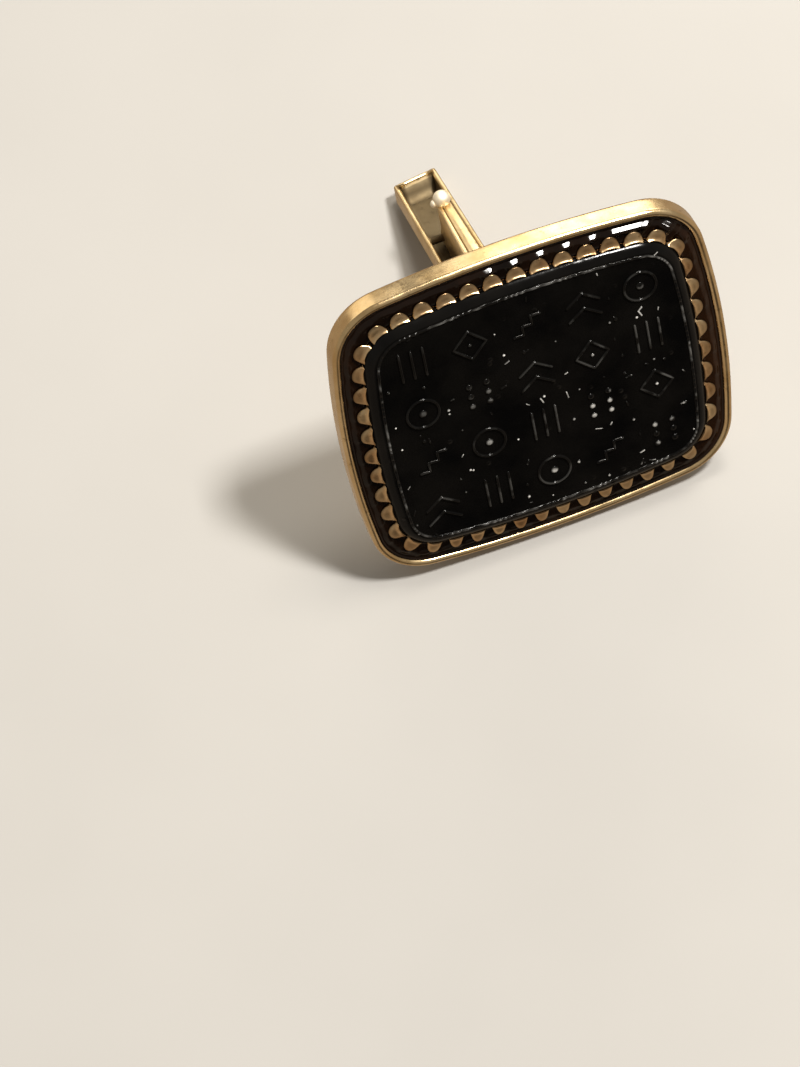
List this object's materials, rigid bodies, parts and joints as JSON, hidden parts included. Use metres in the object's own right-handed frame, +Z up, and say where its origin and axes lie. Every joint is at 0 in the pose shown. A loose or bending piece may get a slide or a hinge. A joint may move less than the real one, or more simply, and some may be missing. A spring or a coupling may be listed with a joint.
{
  "type": "cufflink",
  "caption": "Gold-tone cufflink with a raised black relief plaque, scalloped bezel and dark enamel in a rounded rectangular rim, on a post with a swivel toggle.",
  "frame": {"origin": "on the surface that the cufflink rests on, under the middle of its bounding box", "axes": "+X along the face's long side, +Y from the face towards the toggle's end, +Z up from the surface; the face leans back 25 degrees from upright"},
  "size_m": [0.025, 0.0264, 0.0206],
  "materials": {
    "gold": "polished gold plate, lightly worn",
    "enamel": "glossy black-brown enamel",
    "gold_bezel": "gold plate with darker hollows between the scallops",
    "black_glass": "glossy black glass with fine raised lines",
    "gold_toggle": "gold plate, satin on the trough's floor",
    "gold_pin": "gold plate"
  },
  "bodies": {
    "face": {"frame": "gold", "enamel": "enamel", "bezel": "gold_bezel", "plaque": "black_glass"},
    "toggle_bar": {"toggle": "gold_toggle", "pivot_pin": "gold_pin"}
  },
  "joints": [
    {"name": "toggle_swivel", "type": "hinge", "parent": "face", "child": "toggle_bar", "pos_m": [0.00015, 0.00696, 0.00373], "axis": [1, 0, 0], "range_deg": [0, 90]}
  ]
}
